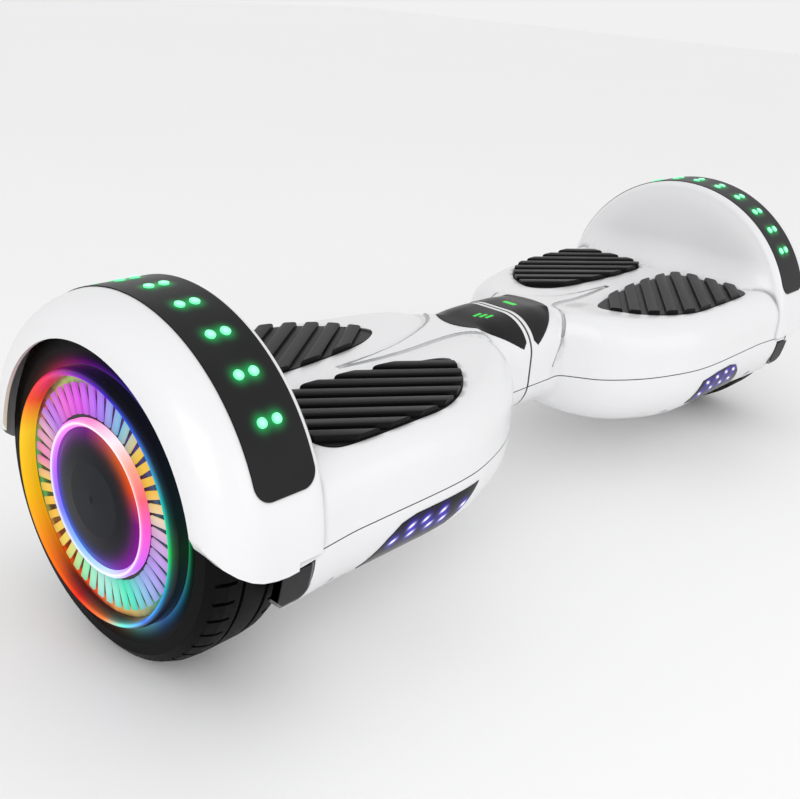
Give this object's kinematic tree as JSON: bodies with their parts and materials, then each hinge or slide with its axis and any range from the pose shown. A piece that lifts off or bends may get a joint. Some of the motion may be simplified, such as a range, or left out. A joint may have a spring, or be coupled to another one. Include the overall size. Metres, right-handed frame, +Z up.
{
  "type": "self balancing board",
  "caption": "Self balancing board with twisting waist, hub motor wheels under lit covers, ribbed foot pads and front lamps.",
  "frame": {"origin": "centre of the footprint on the ground, midway between the wheels", "axes": "+X along the board towards the right half, the front with the lamps faces -Y, +Z up"},
  "size_m": [0.584, 0.189, 0.1787],
  "materials": {
    "shell": "gloss",
    "strip": "satin",
    "lamp_green": "glowing",
    "headlight": "gloss",
    "window": "gloss",
    "aluminium": "cast",
    "steel": "plain",
    "copper": "enamelled wire and steel",
    "board": "printed board",
    "rubber": "ribbed",
    "tyre": "moulded",
    "dark_plastic": "satin",
    "magnet": "plated",
    "light_board": "gloss",
    "rays": "glowing",
    "light_ring": "glowing",
    "hub_lens": "gloss",
    "battery": "wrapped cells",
    "controller": "black case and green board",
    "bronze": "sintered bronze",
    "cable": "sheathed",
    "painted": "black"
  },
  "bodies": {
    "left_half": {"left_top_shell": "shell", "left_bottom_shell": "shell", "left_frame": "aluminium", "left_strip": "strip", "left_strip_lamps": "lamp_green", "left_headlight": "headlight", "left_window": "window", "left_motor_clamp": "aluminium", "left_screws": "steel", "left_axle": "steel", "left_stator": "copper", "left_gyro_board": "board", "left_switch_caps": "rubber", "left_harness": "cable", "battery_pack": "battery", "pivot_bush": "bronze"},
    "right_half": {"right_top_shell": "shell", "right_bottom_shell": "shell", "right_frame": "aluminium", "right_strip": "strip", "right_strip_lamps": "lamp_green", "right_headlight": "headlight", "right_window": "window", "right_motor_clamp": "aluminium", "right_screws": "steel", "right_axle": "steel", "right_stator": "copper", "right_gyro_board": "board", "right_switch_caps": "rubber", "right_harness": "cable", "control_board": "controller", "pivot_shaft": "steel", "pivot_circlip": "steel", "charge_socket": "dark_plastic", "speaker": "dark_plastic"},
    "left_wheel": {"left_tyre": "tyre", "left_rim": "painted", "left_magnets": "magnet", "left_inner_cover": "painted", "left_bearings": "steel", "left_light_board": "light_board", "left_rays": "rays", "left_light_rings": "light_ring", "left_hub_lens": "hub_lens"},
    "right_wheel": {"right_tyre": "tyre", "right_rim": "painted", "right_magnets": "magnet", "right_inner_cover": "painted", "right_bearings": "steel", "right_light_board": "light_board", "right_rays": "rays", "right_light_rings": "light_ring", "right_hub_lens": "hub_lens"},
    "left_front_pad": {"left_front_pad": "rubber"},
    "left_rear_pad": {"left_rear_pad": "rubber"},
    "right_front_pad": {"right_front_pad": "rubber"},
    "right_rear_pad": {"right_rear_pad": "rubber"},
    "power_button": {"power_button": "dark_plastic"},
    "charge_cap": {"charge_cap": "rubber"}
  },
  "joints": [
    {"name": "waist_twist", "type": "hinge", "parent": "left_half", "child": "right_half", "pos_m": [0, 0, 0.088], "axis": [1, 0, 0], "range_deg": [-12, 12]},
    {"name": "left_wheel_spin", "type": "hinge", "parent": "left_half", "child": "left_wheel", "pos_m": [-0.262, 0, 0.083], "axis": [1, 0, 0], "continuous": true},
    {"name": "right_wheel_spin", "type": "hinge", "parent": "right_half", "child": "right_wheel", "pos_m": [0.262, 0, 0.083], "axis": [1, 0, 0], "continuous": true},
    {"name": "left_front_pad_press", "type": "slide", "parent": "left_half", "child": "left_front_pad", "axis": [0, 0, -1], "range_m": [0, 0.0015], "stiffness_N_per_m": 8000, "springref_m": -0.0003},
    {"name": "left_rear_pad_press", "type": "slide", "parent": "left_half", "child": "left_rear_pad", "axis": [0, 0, -1], "range_m": [0, 0.0015], "stiffness_N_per_m": 8000, "springref_m": -0.0003},
    {"name": "right_front_pad_press", "type": "slide", "parent": "right_half", "child": "right_front_pad", "axis": [0, 0, -1], "range_m": [0, 0.0015], "stiffness_N_per_m": 8000, "springref_m": -0.0003},
    {"name": "right_rear_pad_press", "type": "slide", "parent": "right_half", "child": "right_rear_pad", "axis": [0, 0, -1], "range_m": [0, 0.0015], "stiffness_N_per_m": 8000, "springref_m": -0.0003},
    {"name": "power_button_press", "type": "slide", "parent": "right_half", "child": "power_button", "axis": [0, -1, 0], "range_m": [0, 0.0012], "stiffness_N_per_m": 500, "springref_m": -0.0004},
    {"name": "charge_cap_open", "type": "hinge", "parent": "right_half", "child": "charge_cap", "pos_m": [0.15, 0.0861, 0.0515], "axis": [-1, 0, 0], "range_deg": [0, 110], "stiffness_Nm_per_rad": 0.02}
  ]
}
